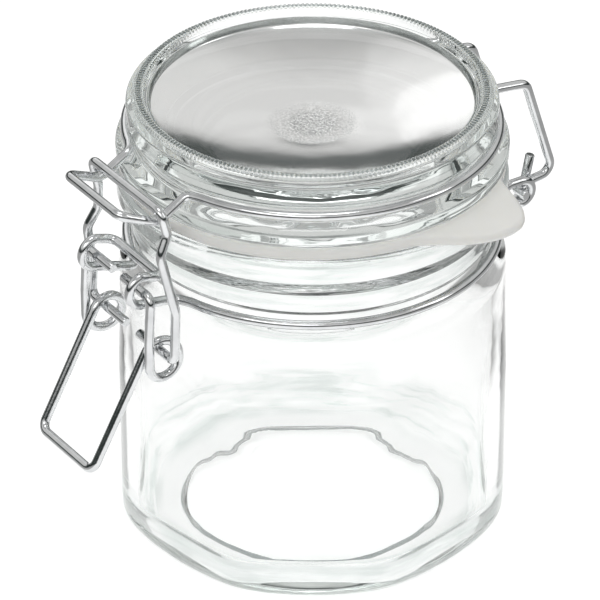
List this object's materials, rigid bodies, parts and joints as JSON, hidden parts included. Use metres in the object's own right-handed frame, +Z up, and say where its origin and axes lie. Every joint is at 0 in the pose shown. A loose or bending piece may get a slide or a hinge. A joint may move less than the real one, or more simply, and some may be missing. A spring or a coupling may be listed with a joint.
{
  "type": "clip-top glass storage jar",
  "caption": "Small clear glass storage jar with a hinged glass lid held shut by a wire clip over a soft sealing ring.",
  "frame": {"origin": "centre of the flat underside of the jar, on the surface that it stands on", "axes": "+Z up along the jar's axis, +Y towards the lid's hinge, so the clip is at -Y, and +X to the side that carries the pull tab"},
  "size_m": [0.1033, 0.1372, 0.1204],
  "materials": {
    "jar_glass": "clear moulded soda-lime glass, very slightly green where thick",
    "lid_glass": "clear pressed glass",
    "gasket_silicone": "translucent off-white silicone, satin",
    "lid_wire_steel": "bright drawn steel wire",
    "neck_wire_steel": "bright drawn steel wire",
    "lever_steel": "bright drawn steel wire",
    "bail_steel": "bright drawn steel wire"
  },
  "bodies": {
    "jar": {"jar_body": "jar_glass", "lid": "lid_glass", "gasket": "gasket_silicone", "lid_wire": "lid_wire_steel", "neck_wire": "neck_wire_steel"},
    "clip_lever": {"lever": "lever_steel"},
    "clip_bail": {"bail": "bail_steel"}
  },
  "joints": [
    {"name": "lever_pivot", "type": "hinge", "parent": "jar", "child": "clip_lever", "pos_m": [0, -0.0558, 0.0869], "axis": [-1, 0, 0], "range_deg": [0, 90]},
    {"name": "bail_pivot", "type": "hinge", "parent": "clip_lever", "child": "clip_bail", "pos_m": [0, -0.0521, 0.0702], "axis": [-1, 0, 0], "range_deg": [-54, 0]}
  ],
  "couplings": [
    {"joint": "bail_pivot", "follows": "lever_pivot", "ratio": -0.58}
  ]
}
